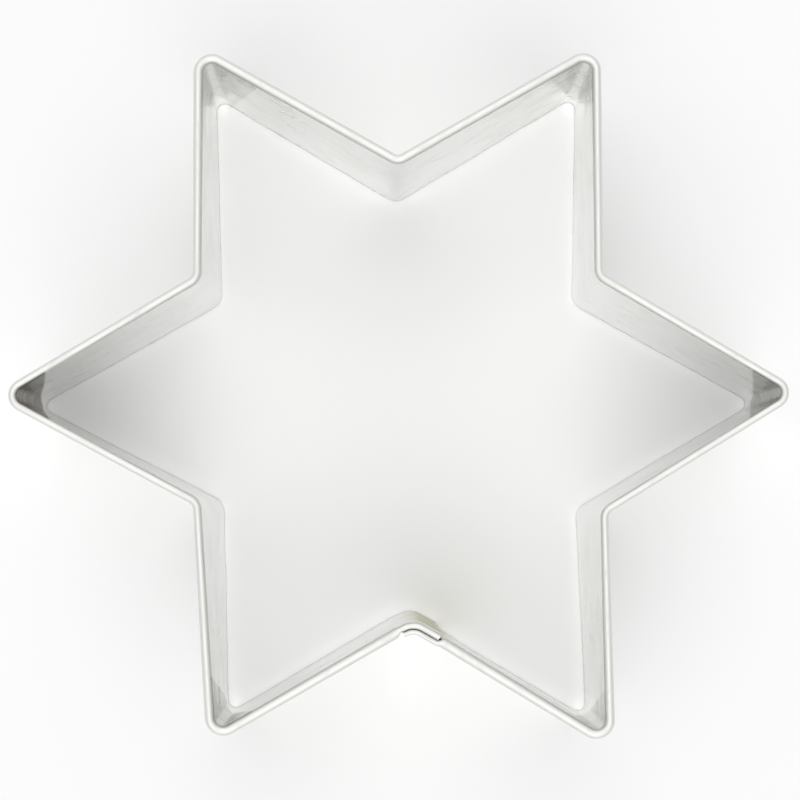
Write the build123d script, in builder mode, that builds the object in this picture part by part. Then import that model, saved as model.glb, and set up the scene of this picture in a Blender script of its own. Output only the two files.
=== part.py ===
from build123d import *
import os
from math import asin, degrees, radians, tan

# A six-pointed star cutter, bent from one strip of stainless steel and spot-welded where its ends lap.
# Millimetres, +Z up. It stands on its cutting edge, with the origin level with that edge under the
# middle of the star. +X runs through one point of the star, and the lap is at the notch on the -Y side.

# The star from above: where the inner faces of neighbouring walls would meet
tip_radius = 40.2
notch_radius = 23.4
tip_bend_radius = 0.9
notch_hollow_radius = 1.1

# How far each bend sits from its place on a true star, along X and Y, as shares of tip_radius:
# the strip is bent round a form and springs back unevenly. The lapped notch comes first, and the
# others follow counter-clockwise, tip and notch in turn.
bend_drift_shares = [
    (0.040, 0.015),
    (0.030, 0.000),
    (0.015, -0.004),
    (0.000, 0.008),
    (0.004, 0.007),
    (0.000, 0.000),
    (0.000, 0.005),
    (0.000, -0.005),
    (0.002, 0.007),
    (0.000, 0.000),
    (0.007, 0.015),
    (0.034, 0.010),
]

# The strip: its wall, and the hem folded outwards along its top edge
height = 24.0
sheet = 0.25
hem_gap = 0.15
hem_depth = 2.0

# The lap: the inner end stops past the bend, the outer end starts before it, rim beside rim
seam_hollow_radius = 1.0
lap_before_bend = 0.3
lap_past_bend = 1.9
rim_gap = 0.12
lap_gap = 0.05
joggle_rise = 0.8
joggle_run = 4.0

# The spot welds, in one row up the flat of the lap
weld_diameter = 1.2
weld_dimple = 0.03
weld_height_shares = {"lower": 0.2, "middle": 0.5, "upper": 0.8}
cut_overrun = 0.1

# What follows from the sizes above
rim_width = 2 * sheet + hem_gap
rim_step = rim_width + rim_gap
wall_step = sheet + lap_gap
lap_joggle = rim_step - wall_step
lap_thickness = wall_step + sheet
hem_foot = height - hem_depth
joggle_foot = hem_foot - joggle_rise
notch_bend_radius = notch_hollow_radius + rim_width
outer_seam_radius = seam_hollow_radius + rim_width
inner_seam_radius = outer_seam_radius + rim_step

# Where the walls meet: a corner for each bend, at the rim's inner face
quarter_turn = 90
bend_step = 360 / len(bend_drift_shares)
corners = []
bend_radii = []
for bend, (drift_x, drift_y) in enumerate(bend_drift_shares):
    corner_radius = tip_radius if bend % 2 else notch_radius
    true_corner = Vector(corner_radius, 0).rotate(Axis.Z, bend * bend_step - quarter_turn)
    corners.append(true_corner + Vector(drift_x, drift_y) * tip_radius)
    bend_radii.append(tip_bend_radius if bend % 2 else notch_bend_radius)

# The two runs of the lap: the outer end keeps rim_step outside the inner end all round the bend
inner_seam = corners[0]
first_tip, last_tip = corners[1], corners[-1]
arriving = (inner_seam - last_tip).normalized()
outward_arriving = arriving.rotate(Axis.Z, -quarter_turn)
lean = degrees(asin(rim_step / (first_tip - inner_seam).length))
leaving = (first_tip - inner_seam).normalized().rotate(Axis.Z, lean)
outward_leaving = leaving.rotate(Axis.Z, -quarter_turn)
outward_sum = outward_arriving + outward_leaving
outer_seam = inner_seam + outward_sum * (rim_step / (1 + outward_arriving.dot(outward_leaving)))
bend_reach = inner_seam_radius * tan(radians(arriving.get_angle(leaving) / 2))
inner_end = inner_seam + leaving * (bend_reach + lap_past_bend)
outer_start = inner_seam - arriving * (bend_reach + lap_before_bend) + outward_arriving * rim_step
joggle_start = inner_end + outward_leaving * rim_step
joggle_end = joggle_start + leaving * joggle_run


def across(start, direction):
    """The plane that cuts the strip at start: its x points outwards and its y up."""
    return Plane(start, x_dir=direction.rotate(Axis.Z, -quarter_turn), z_dir=-direction)


def rim_section(plane):
    """The wall above hem_foot, and the hem folded outwards over it."""
    shoulder = height - rim_width / 2
    leaf = rim_width - sheet
    with BuildSketch(plane) as section:
        with BuildLine():
            Polyline((sheet, shoulder), (sheet, hem_foot), (0, hem_foot), (0, shoulder))
            CenterArc((rim_width / 2, shoulder), rim_width / 2, 180, -180)
            Polyline((rim_width, shoulder), (rim_width, hem_foot), (leaf, hem_foot), (leaf, shoulder))
            CenterArc((rim_width / 2, shoulder), hem_gap / 2, 0, 180)
        make_face()
    return section.sketch


def wall_section(plane, foot, top, foot_joggle, top_joggle):
    """One band of the wall below hem_foot, set inwards by a joggle at its foot and another at its top."""
    with BuildSketch(plane) as section:
        with BuildLine():
            Line((-foot_joggle, foot), (sheet - foot_joggle, foot))
            Line((sheet - foot_joggle, foot), (sheet - top_joggle, top))
            Line((sheet - top_joggle, top), (-top_joggle, top))
            Line((-top_joggle, top), (-foot_joggle, foot))
        make_face()
    return section.sketch


def wall_sections(plane, joggle):
    """The upright band set inwards by joggle, and the slope above it that leads back out to the rim."""
    upright = wall_section(plane, 0, joggle_foot, joggle, joggle)
    slope = wall_section(plane, joggle_foot, hem_foot, joggle, 0)
    return [upright, slope]


def bent_run(points, radii):
    """The line that the rim's inner face follows, round through the bends."""
    with BuildLine() as run:
        FilletPolyline(*points, radius=radii)
    return run.wire()


# The rim runs all the way from the outer end to the inner one. The wall under it is joggled along
# the lap, comes back into line over joggle_run, and then goes round the star
star_points = [*corners[1:], inner_seam, inner_end]
star_radii = [*bend_radii[1:], inner_seam_radius]
rim_run = bent_run([outer_start, outer_seam, *star_points], [outer_seam_radius, *star_radii])
lap_run = bent_run([outer_start, outer_seam, joggle_start], outer_seam_radius)
star_run = bent_run([joggle_end, *star_points], star_radii)
rim = rim_section(across(outer_start, arriving))
lap_wall = wall_sections(across(outer_start, arriving), lap_joggle)
joggled_wall = wall_sections(across(joggle_start, leaving), lap_joggle)
straight_wall = wall_sections(across(joggle_end, leaving), 0)

# The weld row stands on the inner face of the lap, looking outwards
weld_foot = inner_seam + leaving * (bend_reach + lap_past_bend / 2)
weld_face = Plane(weld_foot, x_dir=leaving, z_dir=outward_leaving)
weld_seats = {name: (0, share * joggle_foot) for name, share in weld_height_shares.items()}

with BuildPart() as cutter_strip:
    sweep(rim, path=rim_run)
    for band in lap_wall:
        sweep(band, path=lap_run)
    for band_before, band_after in zip(joggled_wall, straight_wall):
        loft([band_before.face(), band_after.face()], ruled=True)
    for band in straight_wall:
        sweep(band, path=star_run)
    with BuildSketch(weld_face.offset(-cut_overrun)):
        with Locations(*weld_seats.values()):
            Circle(weld_diameter / 2)
    extrude(amount=lap_thickness + 2 * cut_overrun, mode=Mode.SUBTRACT)

os.makedirs("parts", exist_ok=True)
cutter_strip.part.label = "cutter_strip"
export_step(cutter_strip.part, "parts/cutter_strip.step")

# The welds: each nugget fills its seat through both layers, a little below either face
for name, seat in weld_seats.items():
    with BuildPart() as spot_weld:
        with BuildSketch(weld_face.offset(weld_dimple)):
            with Locations(seat):
                Circle(weld_diameter / 2)
        extrude(amount=lap_thickness - 2 * weld_dimple)
    spot_weld.part.label = f"{name}_spot_weld"
    export_step(spot_weld.part, f"parts/{name}_spot_weld.step")
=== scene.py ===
"""Six-pointed star cutter: one strip of bright steel, hemmed along its top and spot-welded at its lap."""

import math

import bpy
from mathutils import Matrix, Vector


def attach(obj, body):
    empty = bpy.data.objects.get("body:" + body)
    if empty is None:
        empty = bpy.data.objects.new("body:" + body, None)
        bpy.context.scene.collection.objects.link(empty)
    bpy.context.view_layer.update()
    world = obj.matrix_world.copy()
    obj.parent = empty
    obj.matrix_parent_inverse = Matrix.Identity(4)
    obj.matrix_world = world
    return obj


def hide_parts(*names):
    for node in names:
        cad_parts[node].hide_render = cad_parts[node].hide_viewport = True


bl_info = {
    "name": "Star cutter",
    "version": (1, 0, 0),
    "blender": (4, 5, 0),
    "location": "3D View > Sidebar > Star cutter",
    "description": "Bends the hemmed strip of a star cutter, welds its lap and sets the table under it",
    "category": "Add Mesh",
}

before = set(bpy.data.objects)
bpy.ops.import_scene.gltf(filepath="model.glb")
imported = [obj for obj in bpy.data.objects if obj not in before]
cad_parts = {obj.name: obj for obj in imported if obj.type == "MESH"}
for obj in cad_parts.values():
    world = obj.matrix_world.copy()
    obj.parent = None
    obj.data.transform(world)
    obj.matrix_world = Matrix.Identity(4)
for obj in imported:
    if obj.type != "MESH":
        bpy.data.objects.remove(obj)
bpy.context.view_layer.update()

MM = 0.001
BODY = "root"
STRIP_NODE = "cutter_strip"
STRIP_UV = "strip_uv"

# How far each bend sits from its place on a true star, along X and Y, as shares of the tip radius.
# The lapped notch comes first, and the others follow counter-clockwise, tip and notch in turn.
BEND_DRIFT_SHARES = [
    (0.040, 0.015),
    (0.030, 0.000),
    (0.015, -0.004),
    (0.000, 0.008),
    (0.004, 0.007),
    (0.000, 0.000),
    (0.000, 0.005),
    (0.000, -0.005),
    (0.002, 0.007),
    (0.000, 0.000),
    (0.007, 0.015),
    (0.034, 0.010),
]

# What springing back adds at each bend, along X and Y, in millimetres: first at the rim, then at the
# cutting edge. The lapped notch's own row at the cutting edge moves the whole lap.
RIM_SPRING = [
    (-0.13, 0.37),
    (-0.31, 0.45),
    (-0.40, 0.43),
    (-0.59, 0.02),
    (-0.53, -0.11),
    (-0.48, -0.47),
    (0.03, -0.44),
    (0.43, -0.41),
    (0.33, -0.38),
    (0.69, 0.01),
    (0.08, 0.60),
    (0.28, 0.41),
]
EDGE_SPRING = [
    (-0.04, 0.28),
    (-0.08, 0.12),
    (-0.73, 0.42),
    (-0.30, 0.02),
    (-0.72, -0.39),
    (-0.08, -0.08),
    (-0.02, -0.80),
    (0.03, -0.08),
    (0.68, -0.40),
    (0.19, 0.02),
    (0.68, 0.41),
    (0.03, 0.10),
]

# How much wider than its two sheets and their gap the hem has sprung open at each bend, in millimetres
HEM_SPRING = [0.05, 0.35, 0.17, 0.14, 0.22, 0.28, 0.33, 0.33, 0.23, 0.16, 0.20, 0.34]

# The same near the lap: past it, shortly before it, where the rims first touch, and at the inner end
PAST_LAP_SPRING = 0.45 * MM
BEFORE_LAP_SPRING = 0.42 * MM
TOUCHING_SPRING = -0.05 * MM
INNER_END_SPRING = 0.07 * MM

# How the strip comes off the lap: how far the outer end starts set in, how far off the rim the cutting
# edge stands where the rim is back in line and then RECOVERY_RUN further on, and how long the last flat
# stays free before the lap
START_SET_IN = 0.10 * MM
EDGE_OFF_AT_LAP = 0.33 * MM
EDGE_OFF_BEYOND = 0.50 * MM
RECOVERY_RUN = 4.0 * MM
APPROACH_RUN = 0.5 * MM
HALF_HELD = 0.3

# How strong the painted shade inside each point is, how brown it is there, and where it is centred off
# the bend, along X and Y in millimetres, point by point from the one after the lap. It paints the dark
# reflections of the shaded floor that the walls of each point mirror.
POINT_SHADE = [
    (0.18, 0.5, (0.0, 0.0)),
    (0.57, 0.0, (0.0, -0.3)),
    (0.23, 0.0, (-0.3, -0.2)),
    (0.22, 0.2, (1.6, -0.9)),
    (0.90, 0.8, (0.2, -0.3)),
    (0.40, 1.0, (-0.6, 1.2)),
]
# A thin painted shade lies further out. The strong one ends at a ragged slanting line, at its lowest by the
# bend.
THIN_POINT_SHADE = 0.07
THIN_POINT_SHADE_REACH = (14.0 * MM, 5.0 * MM)
POINT_SHADE_REACH = (6.0 * MM, 4.0 * MM)
POINT_SHADE_FOOT = 4.0 * MM
POINT_SHADE_SLOPE = 5.5
POINT_SHADE_START = 0.9 * MM
POINT_SHADE_RAGGED = 3.0 * MM
POINT_SHADE_BLUR = 0.9 * MM

# The heat tint: where each ring fades out and where it is full, and how strong it is on the outside
STRAW_REACH = (3.6 * MM, 1.9 * MM)
OLIVE_REACH = (2.3 * MM, 1.0 * MM)
OUTER_STRAW_REACH = (3.0 * MM, 1.3 * MM)
OUTER_OLIVE_REACH = (1.7 * MM, 0.8 * MM)
OUTER_STRAW = 0.40
OUTER_OLIVE = 0.45
WELD_RING_REACH = (3.2 * MM, 0.8 * MM)
TINT_RAGGED = 1.1 * MM

# The rolled surface. Grain is (lines per metre along the strip, across it), and each set of scratches is
# (slant, how fine, how rare). The other patterns have one scale each.
GRAIN = (160.0, 9000.0)
BROAD_GRAIN = (60.0, 1600.0)
SCRATCH_SETS = ((0.45, 1900.0, 0.64), (-0.8, 1400.0, 0.66))
SCRATCH_ALONG = 55.0
SCRATCH_EDGE = 0.035
SMUDGE_SCALE = 210.0
HAZE_SCALE = 60.0
TINT_SCALE = 700.0
# The first colour is painted shade for the rim's fold, which dims its highlight; the other two are the
# cutting edge's wear
FOLD_SHADE = (0.92, 0.92, 0.91)
RUBBED_EDGE = (0.86, 0.86, 0.85)
NICKED_EDGE = (0.42, 0.41, 0.39)

# The weld row, as shares of the plain wall's height
WELD_HEIGHT_SHARES = {"lower": 0.2, "middle": 0.5, "upper": 0.8}

# Points along one bend, round the fold of the hem and round a weld
BEND_POINTS = 16
FOLD_STEPS = 14
WELD_STEPS = 48
SHARP_ANGLE = math.radians(32)

# The soft light at each height: (height as a share of the way from the horizon to overhead, (from the
# front, from behind), (from the left, from the right))
FULL_LIGHT = 4.0
SKY_LIGHTS = [
    (0 / 9, (0.95, 0.95), (0.95, 0.95)),
    (0.055, (0.85, 0.85), (0.85, 0.85)),
    (1 / 9, (0.68, 0.68), (0.76, 0.70)),
    (3 / 9, (1.15, 0.72), (0.58, 0.46)),
    (5 / 9, (2.25, 2.30), (0.70, 0.72)),
    (7 / 9, (2.40, 1.85), (1.25, 0.55)),
    (9 / 9, (1.50, 1.50), (1.50, 1.50)),
]


def length(name, millimetres, description, low=0.0):
    """A size that the panel shows as a length."""
    return bpy.props.FloatProperty(
        name=name,
        description=description,
        default=millimetres * MM,
        min=low,
        precision=5,
        unit="LENGTH",
        subtype="DISTANCE",
    )


def colour(name, default, description):
    """A colour as the shader takes it."""
    return bpy.props.FloatVectorProperty(
        name=name, description=description, default=default, size=3, min=0.0, max=1.0, subtype="COLOR"
    )


class StarStripSizes(bpy.types.PropertyGroup):
    """The strip's own sizes, as it is cut, hemmed, bent and lapped."""

    height: length("Height", 24.0, "Cutting edge to the top of the hem")
    tip_radius: length("Tip radius", 40.2, "Middle of the star to where the walls of a point would meet")
    notch_radius: length("Notch radius", 23.4, "Middle of the star to where a notch's walls would meet")
    tip_bend_radius: length("Tip bend", 0.9, "Inside radius of the bend at each point")
    notch_hollow_radius: length("Notch hollow", 1.1, "Radius of the hollow outside the rim at each notch")
    seam_hollow_radius: length("Seam hollow", 1.0, "Radius of the hollow outside the rims at the lap")
    sheet: length("Sheet", 0.25, "Thickness of the strip")
    hem_gap: length("Hem gap", 0.15, "Room between the wall and the hem folded over it")
    hem_depth: length("Hem depth", 2.0, "How far the hem comes down outside the wall")
    edge_round: length("Edge round", 0.04, "Rounding that the slitting rolls leave on the strip's edges")
    rim_gap: length("Rim gap", 0.12, "Room between the two rims along the lap")
    lap_gap: length("Lap gap", 0.05, "Room between the two lapped walls")
    lap_before_bend: length("Lap before bend", 0.3, "How far the outer end starts before the lapped bend")
    lap_past_bend: length("Lap past bend", 1.9, "How far the inner end stops past the lapped bend")
    joggle_rise: length("Joggle rise", 0.8, "Height over which the outer wall steps out under its rim")
    foot_burr: length("Foot burr", 0.06, "Burr that slitting turns inwards along the cutting edge")
    lap_squeeze: length("Lap squeeze", 0.14, "How much narrower the welding jaws press the outer rim")
    lap_recovery: length("Lap recovery", 0.5, "How soon past the lap the rim is back in line")
    wall_wave: length("Wall wave", 0.10, "How far the thin wall buckles between its bends")
    rim_wave: length("Rim wave", 0.03, "How far the rim wanders between its bends")
    point_spacing: length("Point spacing", 0.8, "Distance between the mesh's points along the flats")
    weld_diameter: length("Weld diameter", 1.2, "Width of a spot weld")
    weld_crown: length("Weld crown", 0.03, "How far a weld's ring stands out of the sheet")


class StarFinish(bpy.types.PropertyGroup):
    """Colours of the steel and of what it stands on."""

    steel: colour("Steel", (0.832, 0.834, 0.816), "Bright rolled stainless steel")
    straw: colour("Straw tint", (0.66, 0.55, 0.34), "Outer ring of the heat tint")
    olive: colour("Olive tint", (0.36, 0.37, 0.16), "Heart of the heat tint")
    # The next colour darkens the hollow of the fold and the hem's underside, and speckles the welds
    fold_and_speck_dark: colour("Grime", (0.17, 0.13, 0.09), "What gathers in the fold of the hem")
    # The next two colours are painted shade inside the points, standing for the shaded floor that their
    # walls mirror
    point_shade: colour("Tarnish", (0.18, 0.20, 0.18), "Film that washing leaves inside the points")
    brown_point_shade: colour("Brown tarnish", (0.23, 0.18, 0.14), "The same film where it has dried on")
    weld: colour("Weld", (0.50, 0.48, 0.43), "Matt face of a spot weld")
    table: colour("Table", (0.832, 0.832, 0.832), "The pale table")


class StarStage(bpy.types.PropertyGroup):
    """Where the camera stands, and how strong the light is."""

    eye_height: length("Eye height", 244.0, "Height of the camera above the table")
    eye_side: length("Eye side", -1.8, "Camera's place along X", low=-1.0)
    eye_front: length("Eye front", -11.55, "Camera's place along Y", low=-1.0)
    lens: bpy.props.FloatProperty(
        name="Lens", description="Focal length", default=98.1, min=1.0, unit="CAMERA"
    )
    shift_x: bpy.props.FloatProperty(
        name="Shift X", description="Sideways shift of the picture", default=0.025
    )
    shift_y: bpy.props.FloatProperty(
        name="Shift Y", description="Upward shift of the picture", default=0.1375
    )
    sky_strength: bpy.props.FloatProperty(
        name="Sky strength", description="How bright the soft light from all round is", default=1.0, min=0.0
    )


class Wire:
    """A socket that can be used in an expression: each operator adds the node for it."""

    def __init__(self, graph, socket):
        self.graph = graph
        self.socket = socket

    def _maths(self, operation, first, second):
        return self.graph.maths(operation, first, second)

    def __add__(self, other):
        return self._maths("ADD", self, other)

    def __sub__(self, other):
        return self._maths("SUBTRACT", self, other)

    def __rsub__(self, other):
        return self._maths("SUBTRACT", other, self)

    def __mul__(self, other):
        return self._maths("MULTIPLY", self, other)

    def __truediv__(self, other):
        return self._maths("DIVIDE", self, other)

    __radd__ = __add__
    __rmul__ = __mul__


class Graph:
    """A node tree, with one method that makes any node from its type, its settings and its inputs."""

    def __init__(self, tree):
        self.tree = tree

    def make(self, kind, settings=None, inputs=None):
        made = self.tree.nodes.new(kind)
        for name, value in (settings or {}).items():
            if name == "stops":
                self._set_stops(made.color_ramp.elements, value)
            else:
                setattr(made, name, value)
        for key, value in (inputs or {}).items():
            self.feed(made.inputs[key], value)
        return made

    def node(self, kind, settings=None, inputs=None, output=0):
        return Wire(self, self.make(kind, settings, inputs).outputs[output])

    def feed(self, socket, value):
        if isinstance(value, Wire):
            self.tree.links.new(value.socket, socket)
        else:
            socket.default_value = value

    def _set_stops(self, elements, stops):
        while len(elements) < len(stops):
            elements.new(0.5)
        for element, (place, rgb) in zip(elements, stops):
            element.position = place
            element.color = opaque(rgb)

    def maths(self, operation, *values):
        return self.node("ShaderNodeMath", {"operation": operation}, dict(enumerate(values)))

    def vector(self, operation, *values, output=0):
        return self.node("ShaderNodeVectorMath", {"operation": operation}, dict(enumerate(values)), output)

    def axes(self, x=0.0, y=0.0, z=0.0):
        return self.node("ShaderNodeCombineXYZ", None, {"X": x, "Y": y, "Z": z})

    def parts(self, vector):
        """X, Y and Z of a vector, each as a wire."""
        split = self.make("ShaderNodeSeparateXYZ", None, {"Vector": vector})
        return [Wire(self, socket) for socket in split.outputs]

    def colours(self, colour):
        """Red, green and blue, each as a wire."""
        split = self.make("ShaderNodeSeparateColor", None, {"Color": colour})
        return [Wire(self, socket) for socket in split.outputs]

    def ramp(self, factor, stops):
        return self.node("ShaderNodeValToRGB", {"stops": stops}, {"Fac": factor})

    def smooth(self, value, low, high):
        """0 at low, 1 at high, with soft ends, for low above or below high."""
        if low > high:
            return 1.0 - self.smooth(value, high, low)
        return self.ramp_to(value, low, high, {"interpolation_type": "SMOOTHSTEP"})

    def ramp_to(self, value, low, high, settings=None):
        """0 at low and 1 at high, straight between them and level past both."""
        inputs = {"Value": value, "From Min": low, "From Max": high}
        return self.node("ShaderNodeMapRange", settings, inputs)

    def noise(self, vector, scale, detail=2.0, roughness=0.5, seed=None):
        """Soft noise round 0.5."""
        inputs = {"Vector": vector, "Scale": scale, "Detail": detail, "Roughness": roughness}
        if seed is None:
            return self.node("ShaderNodeTexNoise", {"noise_dimensions": "3D"}, inputs)
        return self.node("ShaderNodeTexNoise", {"noise_dimensions": "4D"}, {**inputs, "W": seed})

    def mix(self, factor, first, second, blend="MIX"):
        """Two colours mixed by a mask."""
        made = self.make("ShaderNodeMix", {"data_type": "RGBA", "blend_type": blend})
        for index, value in ((0, factor), (6, first), (7, second)):
            self.feed(made.inputs[index], value)
        return Wire(self, made.outputs[2])


def opaque(rgb):
    return (*rgb, 1.0)


def outward_of(direction):
    """The side of the strip that faces out of the star, for a strip that runs counter-clockwise."""
    return Vector((direction.y, -direction.x, 0.0))


class Lap:
    """The lapped notch and the corners of the star, worked out from the sizes."""

    def __init__(self, sizes):
        self.corners = []
        self.radii = []
        self.rim_width = 2 * sizes.sheet + sizes.hem_gap
        self.rim_step = self.rim_width + sizes.rim_gap
        self.wall_step = sizes.sheet + sizes.lap_gap
        self.thickness = self.wall_step + sizes.sheet
        self.hem_foot = sizes.height - sizes.hem_depth
        self.joggle_foot = self.hem_foot - sizes.joggle_rise
        for bend, (drift_x, drift_y) in enumerate(BEND_DRIFT_SHARES):
            is_tip = bend % 2 == 1
            angle = math.tau * bend / len(BEND_DRIFT_SHARES) - math.pi / 2
            reach = sizes.tip_radius if is_tip else sizes.notch_radius
            true_corner = Vector((math.cos(angle), math.sin(angle), 0.0)) * reach
            self.corners.append(true_corner + Vector((drift_x, drift_y, 0.0)) * sizes.tip_radius)
            notch_bend_radius = sizes.notch_hollow_radius + self.rim_width
            self.radii.append(sizes.tip_bend_radius if is_tip else notch_bend_radius)
        inner = self.corners[0]
        self.arriving = (inner - self.corners[-1]).normalized()
        towards_tip = self.corners[1] - inner
        lean = math.asin(self.rim_step / towards_tip.length)
        self.leaving = Matrix.Rotation(lean, 3, "Z") @ towards_tip.normalized()
        self.out_arriving = outward_of(self.arriving)
        self.out_leaving = outward_of(self.leaving)
        both = self.out_arriving + self.out_leaving
        self.outer = inner + both * (self.rim_step / (1 + self.out_arriving.dot(self.out_leaving)))
        self.outer_radius = sizes.seam_hollow_radius + self.rim_width
        self.inner_radius = self.outer_radius + self.rim_step
        turn = self.arriving.angle(self.leaving)
        self.bend_reach = self.inner_radius * math.tan(turn / 2)
        self.inner_end = inner + self.leaving * (self.bend_reach + sizes.lap_past_bend)
        before = self.arriving * (self.bend_reach + sizes.lap_before_bend)
        self.outer_start = inner - before + self.out_arriving * self.rim_step
        self.joggle_start = self.inner_end + self.out_leaving * self.rim_step
        outer_reach = self.outer_radius * math.tan(turn / 2)
        flats = (self.outer - self.outer_start).length + (self.joggle_start - self.outer).length
        self.run_to_joggle = flats - 2 * outer_reach + self.outer_radius * turn
        self.weld_foot = inner + self.leaving * (self.bend_reach + sizes.lap_past_bend / 2)
        self.shift = Vector((*EDGE_SPRING[0], 0.0)) * MM

    def path(self, sizes):
        """(point, bend radius, how far the cutting edge stands off it, how free the wall is to buckle,
        how far the hem has sprung open, how far the strip is set in) for each point of the path."""
        in_plan = [Vector((x, y, 0.0)) * MM for x, y in RIM_SPRING]
        at_edge = [Vector((x, y, 0.0)) * MM for x, y in EDGE_SPRING]
        sprung = [corner + move for corner, move in zip(self.corners, in_plan)]
        shift = self.shift
        still = Vector()
        pressed = -sizes.lap_squeeze
        # Past the lap the outer end goes on to the first tip along the line of the inner end
        away = outward_of((sprung[1] - sprung[0]).normalized())
        joggled = self.joggle_start + shift
        outer_line = (sprung[1] - joggled).normalized()
        recovered = joggled + outer_line * sizes.lap_recovery
        beyond = recovered + outer_line * RECOVERY_RUN
        rows = [
            (self.outer_start + shift, 0.0, still, 0.0, pressed, START_SET_IN),
            (self.outer + shift, self.outer_radius, still, 0.0, pressed, 0.0),
            (joggled, 0.0, still, 0.0, pressed, 0.0),
        ]
        past_lap = ((recovered, EDGE_OFF_AT_LAP, 0.0), (beyond, EDGE_OFF_BEYOND, HALF_HELD))
        for place, edge_off, free in past_lap:
            set_in = (place - sprung[0]).dot(away)
            rows.append((place, 0.0, away * edge_off, free, PAST_LAP_SPRING, set_in))
        for bend in range(1, len(self.corners)):
            lean = at_edge[bend] - in_plan[bend]
            rows.append((sprung[bend], self.radii[bend], lean, 1.0, HEM_SPRING[bend] * MM, 0.0))
        along_last = (sprung[0] - sprung[-1]).normalized()
        lap_from = self.bend_reach + sizes.lap_before_bend
        approach = sprung[0] - along_last * (lap_from + APPROACH_RUN)
        touching = self.corners[0] - self.arriving * lap_from + shift
        rows.append((approach, 0.0, still, HALF_HELD, BEFORE_LAP_SPRING, 0.0))
        rows.append((touching, 0.0, still, 0.0, TOUCHING_SPRING, 0.0))
        rows.append((self.corners[0] + shift, self.inner_radius, still, 0.0, HEM_SPRING[0] * MM, 0.0))
        rows.append((self.inner_end + shift, 0.0, still, 0.0, INNER_END_SPRING, 0.0))
        return rows


def section_of(sizes, lap):
    """The strip cut across, as a loop of (outwards, up, share of the hem's springing outwards, its share
    downwards): up the inner face, over the fold, down the hem's outer face, back up inside the fold and
    down the wall's outer face."""
    round_off = sizes.edge_round
    shoulder = sizes.height - lap.rim_width / 2
    leaf = lap.rim_width - sizes.sheet
    wall_rows = 16
    wall = [lap.joggle_foot * row / wall_rows for row in range(1, wall_rows + 1)]
    slope = [lap.joggle_foot + sizes.joggle_rise * share for share in (0.25, 0.5, 0.75, 1.0)]
    fold = [math.pi * step / FOLD_STEPS for step in range(FOLD_STEPS + 1)]
    middle = lap.rim_width / 2
    hollow = sizes.hem_gap / 2

    def round_fold(reach, turn):
        """A point of the fold, reach from its middle. It drops as the fold widens and stays round."""
        side = math.cos(turn)
        top = math.sin(turn)
        return (middle + reach * side, shoulder + reach * top, (1 + side) / 2, (1 - top) / 2)

    loop = [(-0.4 * sizes.foot_burr, 0.0, 0.0, 0.0), (-sizes.foot_burr, 0.4 * sizes.foot_burr, 0.0, 0.0)]
    loop += [(0.0, height, 0.0, 0.0) for height in (2.2 * sizes.foot_burr, *wall, *slope)]
    loop += [(0.0, (lap.hem_foot + shoulder) / 2, 0.0, 0.0)]
    loop += [round_fold(middle, turn) for turn in reversed(fold)]
    loop += [(lap.rim_width, lap.hem_foot + round_off, 1.0, 0.0)]
    loop += [(lap.rim_width - round_off, lap.hem_foot, 1.0, 0.0)]
    loop += [(leaf + round_off, lap.hem_foot, 1.0, 0.0), (leaf, lap.hem_foot + round_off, 1.0, 0.0)]
    loop += [round_fold(hollow, turn) for turn in fold[::2]]
    loop += [(sizes.sheet, height, 0.0, 0.0) for height in reversed((round_off, *wall, *slope))]
    loop += [(sizes.sheet - round_off, 0.0, 0.0, 0.0)]
    return loop


def wire_object(name, points, closed=False):
    """A mesh of points joined in order."""
    mesh = bpy.data.meshes.new(name)
    edges = [(index, index + 1) for index in range(len(points) - 1)]
    if closed:
        edges.append((len(points) - 1, 0))
    mesh.from_pydata(points, edges, [])
    made = bpy.data.objects.new(name, mesh)
    bpy.context.collection.objects.link(made)
    return made


def add_point_values(mesh, name, kind, values):
    """One value or vector for each point of a mesh."""
    stored = mesh.attributes.new(name, kind, "POINT")
    flat = [part for value in values for part in value] if kind == "FLOAT_VECTOR" else values
    stored.data.foreach_set("vector" if kind == "FLOAT_VECTOR" else "value", flat)


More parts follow.
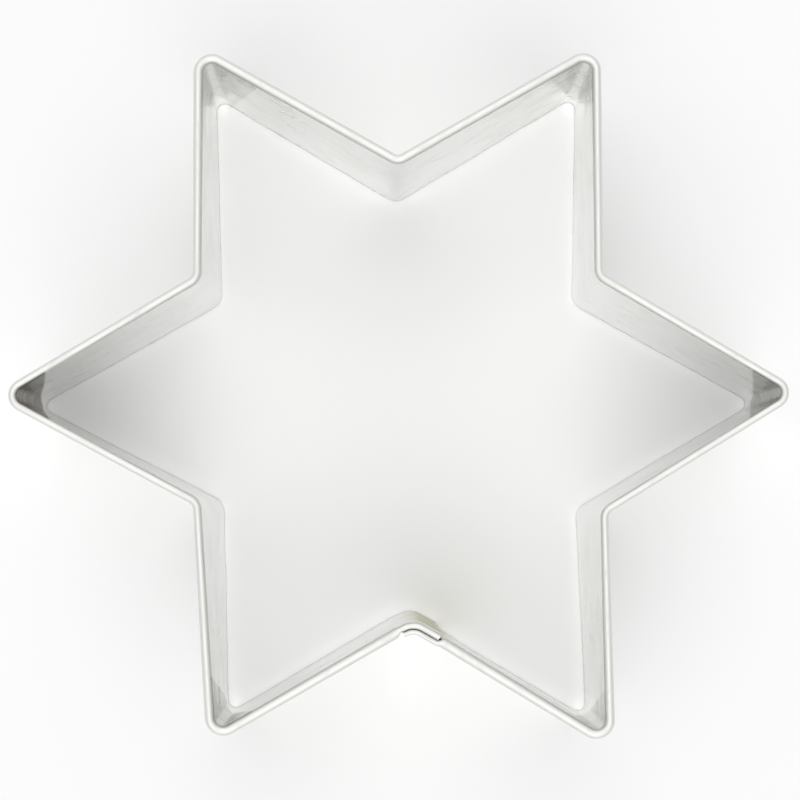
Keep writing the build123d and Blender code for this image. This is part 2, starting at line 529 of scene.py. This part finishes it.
def strip_tree(steel):
    """Geometry Nodes: bends the path, carries the section along it, joggles the lapped wall, opens the
    hem, and leans and buckles the free wall."""
    tree = bpy.data.node_groups.new("bend_strip", "GeometryNodeTree")
    face = tree.interface
    face.new_socket("Geometry", in_out="INPUT", socket_type="NodeSocketGeometry")
    face.new_socket("Section", in_out="INPUT", socket_type="NodeSocketObject")
    lap_names = ("Wall top", "Joggle foot", "Joggle depth", "Lap run", "Joggle run")
    for name in ("Spacing", *lap_names, "Wall wave", "Rim wave"):
        made = face.new_socket(name, in_out="INPUT", socket_type="NodeSocketFloat")
        made.subtype = "DISTANCE"
    face.new_socket("Seed", in_out="INPUT", socket_type="NodeSocketFloat")
    face.new_socket("Geometry", in_out="OUTPUT", socket_type="NodeSocketGeometry")

    g = Graph(tree)
    given = g.make("NodeGroupInput")

    def asked(name):
        return Wire(g, given.outputs[name])

    def stored(name, kind="FLOAT"):
        return g.node("GeometryNodeInputNamedAttribute", {"data_type": kind}, {"Name": name})

    def store(geometry, name, value, kind="FLOAT", domain="POINT"):
        settings = {"data_type": kind, "domain": domain}
        inputs = {"Geometry": geometry, "Name": name, "Value": value}
        return g.node("GeometryNodeStoreNamedAttribute", settings, inputs)

    # The path: corners rounded to their bend radii, then points along the flats
    path = g.node("GeometryNodeMeshToCurve", None, {"Mesh": asked("Geometry")})
    bends = {"Curve": path, "Count": BEND_POINTS, "Radius": stored("bend_radius"), "Limit Radius": False}
    path = g.node("GeometryNodeFilletCurve", {"mode": "POLY"}, bends)
    place = g.node("GeometryNodeInputPosition")
    index = g.node("GeometryNodeInputIndex")
    at_next = {"data_type": "FLOAT_VECTOR", "domain": "POINT"}
    next_place = g.node("GeometryNodeFieldAtIndex", at_next, {"Index": index + 1.0, "Value": place})
    reach = g.vector("DISTANCE", place, next_place, output=1)
    cuts = g.maths("FLOOR", reach / asked("Spacing"))
    path = g.node("GeometryNodeSubdivideCurve", None, {"Curve": path, "Cuts": cuts})
    path = g.node("GeometryNodeSetCurveNormal", {"mode": "Z_UP"}, {"Curve": path})
    along = g.node("GeometryNodeSplineParameter", output=1)
    path = store(path, "run", along)
    path = store(path, "outward", g.node("GeometryNodeInputNormal"), "FLOAT_VECTOR")

    # The section, drawn with its height along -Y because that is the way the path's frame turns
    section_mesh = g.node("GeometryNodeObjectInfo", None, {"Object": asked("Section")}, output=4)
    section = g.node("GeometryNodeMeshToCurve", None, {"Mesh": section_mesh})
    section = store(section, "girth", along)
    carried = {"Curve": path, "Profile Curve": section, "Fill Caps": True}
    band = g.node("GeometryNodeCurveToMesh", None, carried)

    # The wall: in under the outer rim along the lap, and leaning and buckling elsewhere
    _x, _y, rise = g.parts(place)
    run = stored("run")
    outward = stored("outward", "FLOAT_VECTOR")
    below = 1.0 - g.ramp_to(rise, asked("Joggle foot"), asked("Wall top"))
    lapped = 1.0 - g.ramp_to(run, asked("Lap run"), asked("Lap run") + asked("Joggle run"))
    joggle = below * lapped * asked("Joggle depth")
    depth = 1.0 - g.ramp_to(rise, 0.0, asked("Wall top"))
    free = stored("free")
    slow = g.noise(g.axes(run * 90.0, rise * 60.0), 1.0, 1.0, 0.4, asked("Seed")) - 0.5
    quick = g.noise(g.axes(run * 260.0, rise * 110.0), 1.0, 1.0, 0.4, asked("Seed") + 7.0) - 0.5
    wander = g.noise(g.axes(run * 130.0), 1.0, 1.0, 0.4, asked("Seed") + 3.0) - 0.5
    buckle = (slow * 2.0 + quick) * asked("Wall wave") * g.smooth(depth, 0.0, 0.3)
    opened = stored("hem_spring")
    waves = free * (buckle + wander * asked("Rim wave"))
    sideways = waves - joggle + opened * stored("spring_out") - stored("set_in")
    lean = g.vector("SCALE", stored("edge_move", "FLOAT_VECTOR"))
    g.feed(lean.socket.node.inputs["Scale"], depth)
    shove = g.vector("SCALE", outward)
    g.feed(shove.socket.node.inputs["Scale"], sideways)
    sunk = g.axes(0.0, 0.0, opened * stored("spring_down") * -1.0)
    moved = {"Geometry": band, "Offset": g.vector("ADD", g.vector("ADD", lean, shove), sunk)}
    band = g.node("GeometryNodeSetPosition", None, moved)

    uv = {"data_type": "FLOAT2", "domain": "CORNER"}
    uv_inputs = {"Geometry": band, "Name": STRIP_UV, "Value": g.axes(run, stored("girth"))}
    band = g.node("GeometryNodeStoreNamedAttribute", uv, uv_inputs)
    edge_angle = g.node("GeometryNodeInputMeshEdgeAngle")
    crisp = g.node("FunctionNodeCompare", {"operation": "GREATER_THAN"}, {0: edge_angle, 1: SHARP_ANGLE})
    faces = {"Geometry": band, "Shade Smooth": True}
    band = g.node("GeometryNodeSetShadeSmooth", {"domain": "FACE"}, faces)
    edges = {"Geometry": band, "Selection": crisp, "Shade Smooth": False}
    band = g.node("GeometryNodeSetShadeSmooth", {"domain": "EDGE"}, edges)
    band = g.node("GeometryNodeRealizeInstances", None, {"Geometry": band})
    band = g.node("GeometryNodeSetMaterial", None, {"Geometry": band, "Material": steel})
    g.make("NodeGroupOutput", None, {"Geometry": band})
    return tree


def set_inputs(modifier, values):
    """Sets a Geometry Nodes modifier's inputs, found by name and set by their identifiers."""
    for item in modifier.node_group.interface.items_tree:
        if item.item_type == "SOCKET" and item.in_out == "INPUT" and item.name in values:
            modifier[item.identifier] = values[item.name]


def made_plain(source, name):
    """The evaluated result of an object's modifiers as a plain mesh object of its own."""
    graph = bpy.context.evaluated_depsgraph_get()
    mesh = bpy.data.meshes.new_from_object(source.evaluated_get(graph), depsgraph=graph)
    mesh.name = name
    plain = bpy.data.objects.new(name, mesh)
    bpy.context.collection.objects.link(plain)
    return plain


def discard(*unwanted):
    for each in unwanted:
        mesh = each.data
        bpy.data.objects.remove(each)
        bpy.data.meshes.remove(mesh)


def steel_material(sizes, finish, lap):
    """Bright rolled strip: fine grain along its length, faint scratches and smudges, painted shade in the
    points and in the fold of the rim, a darker fold hollow, and the heat tint that the welds leave."""
    steel = bpy.data.materials.new("rolled_steel")
    steel.use_nodes = True
    steel.node_tree.nodes.clear()
    g = Graph(steel.node_tree)
    where = g.node("ShaderNodeTexCoord", output=3)
    x, y, z = g.parts(where)
    uv = g.node("ShaderNodeUVMap", {"uv_map": STRIP_UV})
    run, girth, _flat = g.parts(uv)

    # Rolling grain: hair-fine lines that follow the strip
    grain = g.noise(g.axes(run * GRAIN[0], girth * GRAIN[1]), 1.0, 4.0, 0.65)
    broad_grain = g.noise(g.axes(run * BROAD_GRAIN[0], girth * BROAD_GRAIN[1], 4.0), 1.0, 3.0, 0.6)
    # Smudges and handling marks
    smudge = g.smooth(g.noise(where, SMUDGE_SCALE, 4.0, 0.6), 0.42, 0.72)
    haze = g.noise(where, HAZE_SCALE, 3.0, 0.55)
    # Scratches: thin lines in two slants, broken up by a mask
    scratches = 0.0
    for slant, fine, rare in SCRATCH_SETS:
        slanting = g.axes((girth + run * slant) * fine, (run - girth * slant) * SCRATCH_ALONG, fine)
        line = g.smooth(g.noise(slanting, 1.0, 1.0, 0.3), rare, rare + SCRATCH_EDGE)
        scratches = line + scratches

    # Distance from the weld row, in plan, and the tint it leaves
    weld_x, weld_y, _up = lap.weld_foot + lap.shift
    off = g.vector("DISTANCE", g.axes(x, y), (weld_x, weld_y, 0.0), output=1)
    patchy = g.noise(where, TINT_SCALE, 3.0, 0.6) - 0.5
    near = off + patchy * TINT_RAGGED
    straw = g.smooth(near, *STRAW_REACH)
    olive = g.smooth(near, *OLIVE_REACH)
    row = 0.0
    nearest = 1.0
    for share in WELD_HEIGHT_SHARES.values():
        gap = g.maths("ABSOLUTE", z - share * lap.joggle_foot)
        row = g.maths("MAXIMUM", row, g.smooth(gap, *WELD_RING_REACH))
        nearest = g.maths("MINIMUM", nearest, g.vector("LENGTH", g.axes(near, gap), output=1))
    wall_only = g.smooth(z, lap.hem_foot + 1.0 * MM, lap.hem_foot - 0.6 * MM)
    # On the inside the tint has run together up the lap; on the outside it stays in rings round the welds
    inside = g.smooth(girth, sizes.height + 0.1 * MM, sizes.height - 0.3 * MM)
    ringed_straw = g.smooth(nearest, *OUTER_STRAW_REACH) * OUTER_STRAW
    ringed_olive = g.smooth(nearest, *OUTER_OLIVE_REACH) * OUTER_OLIVE
    straw_tint = wall_only * (ringed_straw + (straw * (0.30 + 0.45 * row) - ringed_straw) * inside)
    olive_tint = wall_only * (ringed_olive + (olive * (0.35 + 0.55 * row) - ringed_olive) * inside)

    base = g.mix(haze * 0.25, opaque(finish.steel), opaque([part * 0.93 for part in finish.steel]))
    base = g.mix((1.0 - grain) * 0.12, base, opaque([part * 0.80 for part in finish.steel]))
    base = g.mix(straw_tint, base, opaque(finish.straw))
    base = g.mix(olive_tint, base, opaque(finish.olive))

    # Darker colour in the hollow of the fold and on the underside of the hem
    round_the_hem = girth_of_hem_foot(sizes, lap)
    outer_face = g.smooth(girth, round_the_hem, round_the_hem + 0.2 * MM)
    in_fold = outer_face * g.smooth(z, lap.hem_foot - 0.9 * MM, lap.hem_foot + 0.25 * MM)
    base = g.mix(in_fold * (0.35 + 0.5 * haze), base, opaque(finish.fold_and_speck_dark))

    # Painted shade inside the points, above a line that starts low at the bend and reaches the rim on each
    # wall
    shade_share = 0.0
    brown_share = 0.0
    for tip, (strength, brown, (aside, ahead)) in enumerate(POINT_SHADE):
        bend = 2 * tip + 1
        rim = lap.corners[bend] + Vector((*RIM_SPRING[bend], 0.0)) * MM
        foot = lap.corners[bend] + Vector((*EDGE_SPRING[bend], 0.0)) * MM
        off_x = x - (z * ((rim.x - foot.x) / sizes.height) + foot.x) - aside * MM
        off_y = y - (z * ((rim.y - foot.y) / sizes.height) + foot.y) - ahead * MM
        from_bend = g.vector("LENGTH", g.axes(off_x, off_y), output=1)
        ragged = (haze - 0.5) * POINT_SHADE_RAGGED
        line = (from_bend - POINT_SHADE_START) * POINT_SHADE_SLOPE + POINT_SHADE_FOOT + ragged
        above = g.smooth(z - line, -POINT_SHADE_BLUR, POINT_SHADE_BLUR)
        patch = above * g.smooth(from_bend, *POINT_SHADE_REACH) * strength
        shade_share = patch + shade_share + g.smooth(from_bend, *THIN_POINT_SHADE_REACH) * THIN_POINT_SHADE
        brown_share = patch * brown + brown_share
    shade_share = shade_share * inside
    shade_colour = g.mix(brown_share, opaque(finish.point_shade), opaque(finish.brown_point_shade))
    base = g.mix(shade_share, base, shade_colour, "MULTIPLY")

    # The fold is left a little matt, and painted shade in its colour makes it greyer than the wall to dim
    # the highlight along the rim
    fold = g.smooth(z, sizes.height - 0.75 * MM, sizes.height - 0.30 * MM)
    base = g.mix(fold * (0.85 + 0.15 * broad_grain), base, opaque(FOLD_SHADE), "MULTIPLY")

    # Wear: the cutting edge is rubbed bright and slightly burred
    edge = g.smooth(z, 0.9 * MM, 0.05 * MM)
    nicks = g.smooth(g.noise(g.axes(run * 900.0, z * 300.0), 1.0, 2.0, 0.6), 0.5, 0.7) * edge
    base = g.mix(edge * 0.35, base, opaque(RUBBED_EDGE))
    base = g.mix(nicks * 0.3, base, opaque(NICKED_EDGE))

    rough = 0.13 + grain * 0.07 + smudge * 0.10 + scratches * 0.06 + olive_tint * 0.15 + edge * 0.10
    rough = rough + in_fold * 0.22 + fold * 0.38 + shade_share * 0.10

    height = grain * 0.30 + broad_grain * 0.55 + haze * 1.6 - scratches * 0.35 - nicks * 0.6
    bump = {"Height": height, "Strength": 0.30, "Distance": 0.012 * MM}
    normal = g.node("ShaderNodeBump", None, bump)
    shader = {
        "Base Color": base,
        "Metallic": 1.0,
        "Roughness": rough,
        "Normal": normal,
    }
    surface = g.node("ShaderNodeBsdfPrincipled", None, shader)
    g.make("ShaderNodeOutputMaterial", None, {"Surface": surface})
    return steel


def girth_of_hem_foot(sizes, lap):
    """How far round the section, from the cutting edge's inner corner, the hem's outer foot lies."""
    shoulder = sizes.height - lap.rim_width / 2
    return shoulder + math.pi * lap.rim_width / 2 + shoulder - lap.hem_foot


def weld_material(finish):
    """A spot weld's face: matt, dished, ringed with heat tint."""
    weld = bpy.data.materials.new("spot_weld")
    weld.use_nodes = True
    weld.node_tree.nodes.clear()
    g = Graph(weld.node_tree)
    where = g.node("ShaderNodeTexCoord", output=3)
    grit = g.noise(where, 5200.0, 5.0, 0.7)
    blotch = g.noise(where, 1500.0, 3.0, 0.6)
    base = g.mix(blotch, opaque(finish.weld), opaque(finish.straw))
    base = g.mix(g.smooth(grit, 0.55, 0.8) * 0.6, base, opaque(finish.fold_and_speck_dark))
    rough = 0.34 + grit * 0.22
    bump = {"Height": grit + blotch, "Strength": 0.5, "Distance": 0.03 * MM}
    normal = g.node("ShaderNodeBump", None, bump)
    inputs = {"Base Color": base, "Metallic": 1.0, "Roughness": rough, "Normal": normal}
    surface = g.node("ShaderNodeBsdfPrincipled", None, inputs)
    g.make("ShaderNodeOutputMaterial", None, {"Surface": surface})
    return weld


def lathe(name, profile, origin, axis, steps):
    """A closed round piece from (radius, along) points that start and end on its axis."""
    turn_from = axis.orthogonal().normalized()
    points = []
    faces = []
    rings = profile[1:-1]
    for radius, along in rings:
        for step in range(steps):
            spoke = Matrix.Rotation(math.tau * step / steps, 3, axis) @ turn_from
            points.append(origin + spoke * radius + axis * along)
    first = len(points)
    points += [origin + axis * profile[0][1], origin + axis * profile[-1][1]]
    for step in range(steps):
        after = (step + 1) % steps
        faces.append((first, after, step))
        for ring in range(len(rings) - 1):
            low = ring * steps
            faces.append((low + step, low + after, low + steps + after, low + steps + step))
        last = (len(rings) - 1) * steps
        faces.append((first + 1, last + step, last + after))
    mesh = bpy.data.meshes.new(name)
    mesh.from_pydata(points, [], faces)
    made = bpy.data.objects.new(name, mesh)
    bpy.context.collection.objects.link(made)
    return made


class STAR_OT_bend_strip(bpy.types.Operator):
    """Bends the hemmed strip into the star, with its ends lapped at one notch"""

    bl_idname = "star.bend_strip"
    bl_label = "Bend strip"

    def execute(self, context):
        sizes = context.scene.star_strip
        lap = Lap(sizes)
        rows = lap.path(sizes)
        path = wire_object("strip_path", [row[0] for row in rows])
        add_point_values(path.data, "bend_radius", "FLOAT", [row[1] for row in rows])
        add_point_values(path.data, "edge_move", "FLOAT_VECTOR", [row[2] for row in rows])
        add_point_values(path.data, "free", "FLOAT", [row[3] for row in rows])
        add_point_values(path.data, "hem_spring", "FLOAT", [row[4] for row in rows])
        add_point_values(path.data, "set_in", "FLOAT", [row[5] for row in rows])
        loop = section_of(sizes, lap)
        section = wire_object("strip_section", [(point[0], -point[1], 0.0) for point in loop], closed=True)
        add_point_values(section.data, "spring_out", "FLOAT", [point[2] for point in loop])
        add_point_values(section.data, "spring_down", "FLOAT", [point[3] for point in loop])
        tree = strip_tree(steel_material(sizes, context.scene.star_finish, lap))
        bending = path.modifiers.new("bend_strip", "NODES")
        bending.node_group = tree
        asked = {
            "Section": section,
            "Spacing": sizes.point_spacing,
            "Wall top": lap.hem_foot,
            "Joggle foot": lap.joggle_foot,
            "Joggle depth": lap.rim_step - lap.wall_step,
            "Lap run": lap.run_to_joggle,
            "Joggle run": sizes.lap_recovery,
            "Wall wave": sizes.wall_wave,
            "Rim wave": sizes.rim_wave,
            "Seed": 5.0,
        }
        set_inputs(bending, asked)
        strip = made_plain(path, "star_strip")
        discard(path, section)
        if len(strip.data.polygons) < len(loop):
            raise RuntimeError("the strip's section was not carried along its path")
        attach(strip, BODY)
        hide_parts(STRIP_NODE)
        return {"FINISHED"}


class STAR_OT_weld_lap(bpy.types.Operator):
    """Sets a row of spot welds up the flat of the lap"""

    bl_idname = "star.weld_lap"
    bl_label = "Weld lap"

    def execute(self, context):
        sizes = context.scene.star_strip
        lap = Lap(sizes)
        weld = weld_material(context.scene.star_finish)
        reach = sizes.weld_diameter / 2
        crown = sizes.weld_crown
        # From the middle of the dished face to its raised ring and over the edge, as shares of the size
        dish = [(0.0, 0.25), (0.30, 0.28), (0.55, 0.45)]
        face = [*dish, (0.72, 0.90), (0.82, 1.0), (0.92, 0.80), (1.0, 0.0)]
        for name, share in WELD_HEIGHT_SHARES.items():
            inside = [(width * reach, -rise * crown) for width, rise in face]
            outside = [(width * reach, lap.thickness + rise * crown) for width, rise in reversed(face)]
            seat = lap.weld_foot + lap.shift + Vector((0.0, 0.0, share * lap.joggle_foot))
            nugget = lathe(f"{name}_weld_nugget", inside + outside, seat, lap.out_leaving, WELD_STEPS)
            nugget.data.materials.append(weld)
            nugget.data.shade_smooth()
            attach(nugget, BODY)
            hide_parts(f"{name}_spot_weld")
        return {"FINISHED"}


class STAR_OT_set_stage(bpy.types.Operator):
    """Lays the table, hangs the lights and sets the camera over the cutter"""

    bl_idname = "star.set_stage"
    bl_label = "Set stage"

    def execute(self, context):
        stage = context.scene.star_stage
        finish = context.scene.star_finish
        self.lay_table(finish)
        self.light(context.scene, stage)
        self.set_camera(context.scene, stage)
        # The star's inside is lit by what its own walls mirror, so mirrored light stays sharp
        context.scene.cycles.blur_glossy = 0.0
        context.scene.view_settings.view_transform = "Standard"
        return {"FINISHED"}

    def lay_table(self, finish):
        half = 3.0
        mesh = bpy.data.meshes.new("table")
        corners = [(-half, -half, 0.0), (half, -half, 0.0), (half, half, 0.0), (-half, half, 0.0)]
        mesh.from_pydata(corners, [], [(0, 1, 2, 3)])
        table = bpy.data.objects.new("table", mesh)
        bpy.context.collection.objects.link(table)
        paint = bpy.data.materials.new("table_top")
        paint.use_nodes = True
        paint.node_tree.nodes.clear()
        g = Graph(paint.node_tree)
        where = g.node("ShaderNodeTexCoord", output=3)
        mottle = g.noise(where, 14.0, 3.0, 0.5)
        tone = g.mix(mottle * 0.5, opaque(finish.table), opaque([part * 0.985 for part in finish.table]))
        surface = g.node("ShaderNodeBsdfPrincipled", None, {"Base Color": tone, "Roughness": 0.9})
        g.make("ShaderNodeOutputMaterial", None, {"Surface": surface})
        mesh.materials.append(paint)

    def light(self, scene, stage):
        """A soft room: broad lights high in front and behind, and dimmer ones at the sides."""
        world = bpy.data.worlds.new("soft_room")
        world.use_nodes = True
        world.node_tree.nodes.clear()
        g = Graph(world.node_tree)
        x, y, up = g.parts(g.node("ShaderNodeTexCoord", output=0))
        rise = g.maths("ARCSINE", up) / (math.pi / 2)

        def pair(which):
            """The light at this height from either end of one direction, as shares of FULL_LIGHT."""
            shares = [(row[0], [end / FULL_LIGHT for end in row[which]]) for row in SKY_LIGHTS]
            stops = [(height, (*share, 0.0)) for height, share in shares]
            return g.colours(g.ramp(rise, stops))[:2]

        front, back = pair(1)
        left, right = pair(2)
        facing = y * y / (x * x + y * y + 1e-6)
        ahead = g.maths("LESS_THAN", y, 0.0)
        leftward = g.maths("LESS_THAN", x, 0.0)
        fore_and_aft = front * ahead + back * (1.0 - ahead)
        sideways = left * leftward + right * (1.0 - leftward)
        light = facing * fore_and_aft + (1.0 - facing) * sideways
        inputs = {"Color": opaque((1.0, 1.0, 1.0)), "Strength": light * (FULL_LIGHT * stage.sky_strength)}
        sky = g.node("ShaderNodeBackground", None, inputs)
        g.make("ShaderNodeOutputWorld", None, {"Surface": sky})
        scene.world = world

    def set_camera(self, scene, stage):
        camera = bpy.data.cameras.new("overhead_camera")
        camera.sensor_width = 36.0
        camera.lens = stage.lens
        camera.shift_x = stage.shift_x
        camera.shift_y = stage.shift_y
        camera.clip_start = 0.01
        camera.clip_end = 20.0
        eye = bpy.data.objects.new("overhead_camera", camera)
        eye.location = (stage.eye_side, stage.eye_front, stage.eye_height)
        bpy.context.collection.objects.link(eye)
        scene.camera = eye


class STAR_PT_cutter(bpy.types.Panel):
    """Lists the sizes, the colours and the steps"""

    bl_idname = "STAR_PT_cutter"
    bl_label = "Star cutter"
    bl_space_type = "VIEW_3D"
    bl_region_type = "UI"
    bl_category = "Star cutter"

    def draw(self, context):
        for group in (context.scene.star_strip, context.scene.star_finish, context.scene.star_stage):
            box = self.layout.box()
            for name in group.bl_rna.properties.keys():
                if name not in ("rna_type", "name"):
                    box.prop(group, name)
        for step in STEPS:
            self.layout.operator(step.bl_idname)


GROUPS = {"star_strip": StarStripSizes, "star_finish": StarFinish, "star_stage": StarStage}
STEPS = (STAR_OT_bend_strip, STAR_OT_weld_lap, STAR_OT_set_stage)


def register():
    for each in (*GROUPS.values(), *STEPS, STAR_PT_cutter):
        bpy.utils.register_class(each)
    for name, group in GROUPS.items():
        setattr(bpy.types.Scene, name, bpy.props.PointerProperty(type=group))


def unregister():
    for name in GROUPS:
        delattr(bpy.types.Scene, name)
    for each in reversed((*GROUPS.values(), *STEPS, STAR_PT_cutter)):
        bpy.utils.unregister_class(each)


def main():
    register()
    bpy.ops.star.bend_strip()
    bpy.ops.star.weld_lap()
    bpy.ops.star.set_stage()


if __name__ == "__main__":
    main()
